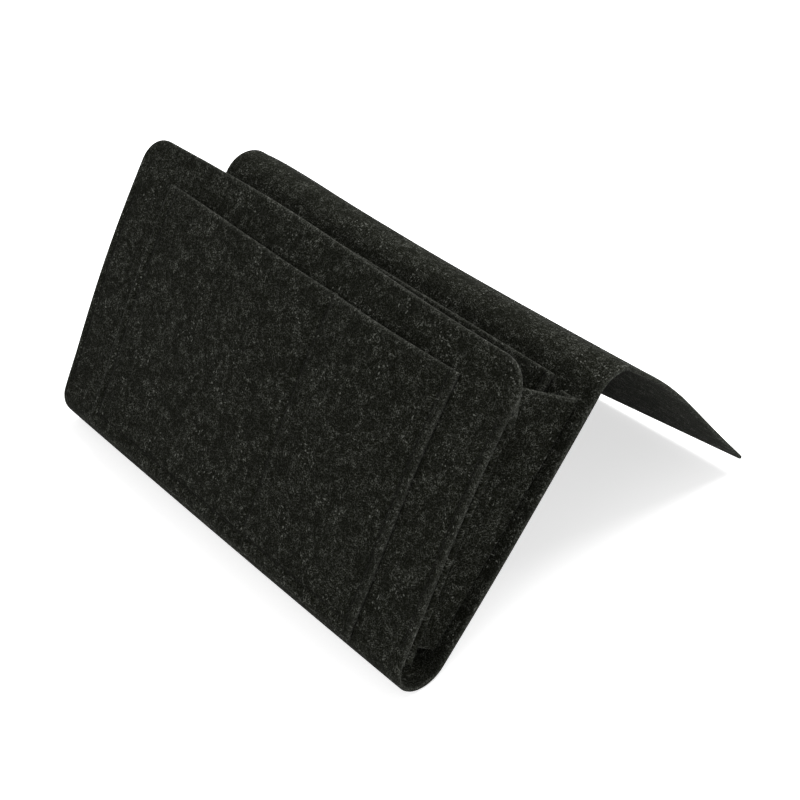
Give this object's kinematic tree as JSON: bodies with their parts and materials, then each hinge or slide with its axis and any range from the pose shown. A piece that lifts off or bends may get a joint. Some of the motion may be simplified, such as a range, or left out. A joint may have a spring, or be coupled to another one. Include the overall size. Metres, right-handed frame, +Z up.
{
  "type": "bedside caddy",
  "caption": "Felt bedside caddy: a flap to tuck under a mattress, a gusseted main pocket, a divided slip pocket in front and a pocket inside.",
  "frame": {"origin": "middle of the floor under the caddy as it stands like a tent on its bottom bend and its flap's end", "axes": "+X across the width, to the right as seen from the slip pocket; the slip pocket faces -Y and the flap +Y; +Z up"},
  "size_m": [0.302, 0.2568, 0.1627],
  "materials": {
    "felt": "matte charcoal heathered pressed felt",
    "thread": "matte black sewing thread"
  },
  "bodies": {
    "back": {"back_panel": "felt", "inner_pocket": "felt", "inner_pocket_seam": "thread", "gusset_left_back_flange": "felt", "gusset_left_back_seam": "thread", "gusset_right_back_flange": "felt", "gusset_right_back_seam": "thread"},
    "front": {"front_panel": "felt", "slip_pocket": "felt", "slip_pocket_seam": "thread", "slip_pocket_divider_seam": "thread", "gusset_left_front_flange": "felt", "gusset_left_front_seam": "thread", "gusset_right_front_flange": "felt", "gusset_right_front_seam": "thread"},
    "flap": {"flap": "felt"},
    "left_back_leaf": {"gusset_left_back_leaf": "felt"},
    "left_front_leaf": {"gusset_left_front_leaf": "felt"},
    "right_back_leaf": {"gusset_right_back_leaf": "felt"},
    "right_front_leaf": {"gusset_right_front_leaf": "felt"}
  },
  "joints": [
    {"name": "front_fold", "type": "hinge", "parent": "back", "child": "front", "pos_m": [0, -0.11844, 0.00427], "axis": [-1, 0, 0], "range_deg": [-3, 14], "stiffness_Nm_per_rad": 0.6, "springref_deg": -2.01},
    {"name": "flap_fold", "type": "hinge", "parent": "back", "child": "flap", "pos_m": [0, 0.01983, 0.12708], "axis": [1, 0, 0], "range_deg": [-76, 100], "stiffness_Nm_per_rad": 0.6, "springref_deg": -4.58},
    {"name": "left_back_leaf_fold", "type": "hinge", "parent": "back", "child": "left_back_leaf", "pos_m": [-0.14175, -0.10187, 0.01014], "axis": [0, 0.6677, 0.7444], "range_deg": [-13.5, 63]},
    {"name": "right_back_leaf_fold", "type": "hinge", "parent": "back", "child": "right_back_leaf", "pos_m": [0.14175, -0.10187, 0.01014], "axis": [0, 0.6677, 0.7444], "range_deg": [-63, 13.5]},
    {"name": "left_front_leaf_fold", "type": "hinge", "parent": "front", "child": "left_front_leaf", "pos_m": [-0.14975, -0.11774, 0.02183], "axis": [0, 0.5134, 0.8581], "range_deg": [-42, 9]},
    {"name": "right_front_leaf_fold", "type": "hinge", "parent": "front", "child": "right_front_leaf", "pos_m": [0.14975, -0.11774, 0.02183], "axis": [0, 0.5134, 0.8581], "range_deg": [-9, 42]}
  ],
  "couplings": [
    {"joint": "left_back_leaf_fold", "follows": "front_fold", "ratio": 4.5},
    {"joint": "right_back_leaf_fold", "follows": "front_fold", "ratio": -4.5},
    {"joint": "left_front_leaf_fold", "follows": "front_fold", "ratio": -3},
    {"joint": "right_front_leaf_fold", "follows": "front_fold", "ratio": 3}
  ]
}
